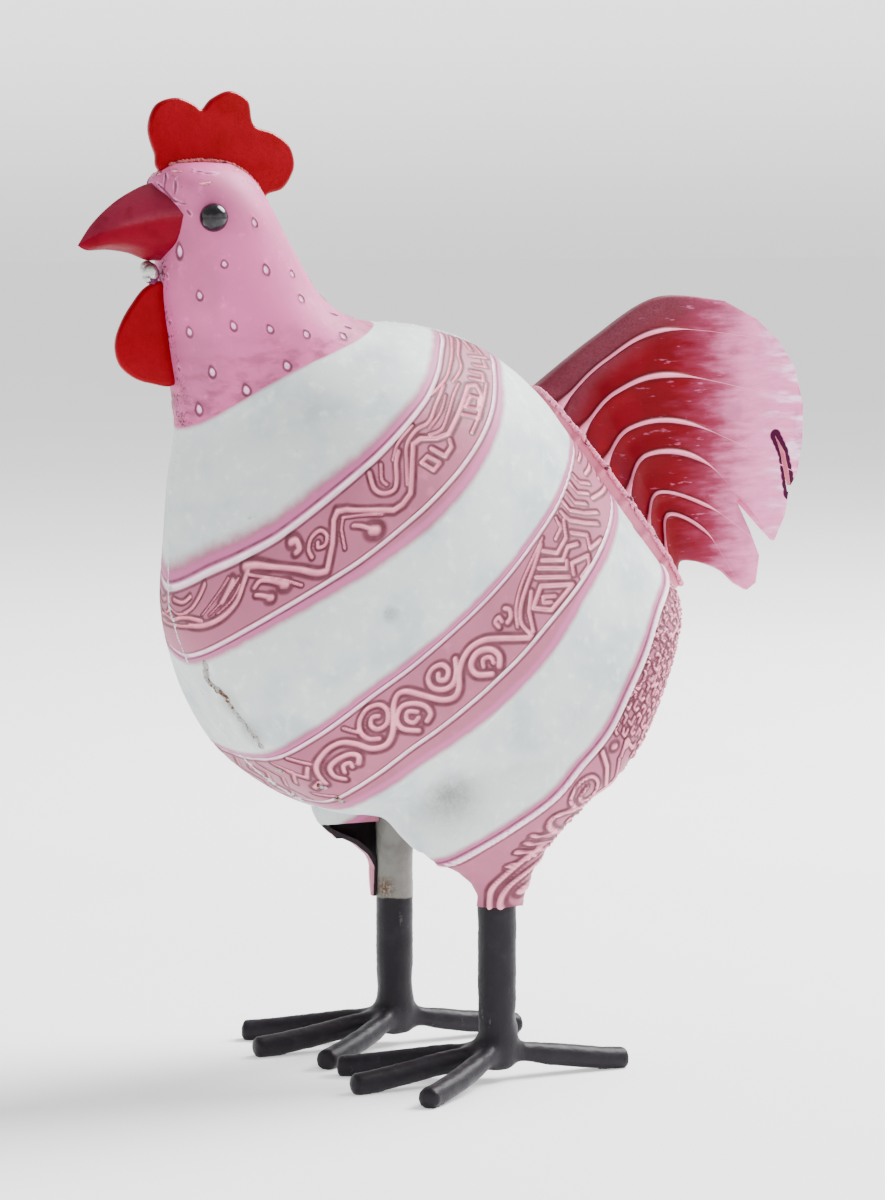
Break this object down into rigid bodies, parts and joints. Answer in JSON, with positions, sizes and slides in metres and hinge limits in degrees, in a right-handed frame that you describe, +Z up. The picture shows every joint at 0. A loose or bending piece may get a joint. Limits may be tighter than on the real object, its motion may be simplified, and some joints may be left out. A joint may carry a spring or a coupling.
{
  "type": "metal chicken ornament",
  "caption": "Standing painted sheet-metal cockerel ornament with embossed striped body, red comb and wattle, ribbed tail and rod feet.",
  "frame": {"origin": "on the floor, under the middle of the bird's length and width", "axes": "+Z up, -X the way the beak points, +X the way the tail points"},
  "size_m": [0.264, 0.1374, 0.314],
  "materials": {
    "body_paint": "satin pale blue-grey white with pink embossed bands and a rose neck, hand painted and rubbed",
    "beak_paint": "satin red, lighter on the upper facet",
    "solder": "bare silver blob of solder",
    "red_gloss": "deep glossy red",
    "tail_paint": "crimson at the root, smoky maroon above, fading to pinkish white tips",
    "eye_gloss": "glossy black bead",
    "leg_paint": "charcoal black satin"
  },
  "bodies": {
    "root": {"body": "body_paint", "beak": "beak_paint", "throat_solder": "solder", "comb": "red_gloss", "wattle": "red_gloss", "tail": "tail_paint", "left_eye": "eye_gloss", "right_eye": "eye_gloss", "left_leg": "leg_paint", "left_toe_outer": "leg_paint", "left_toe_middle": "leg_paint", "left_toe_inner": "leg_paint", "left_toe_rear": "leg_paint", "right_leg": "leg_paint", "right_toe_outer": "leg_paint", "right_toe_middle": "leg_paint", "right_toe_inner": "leg_paint", "right_toe_rear": "leg_paint"}
  },
  "joints": []
}
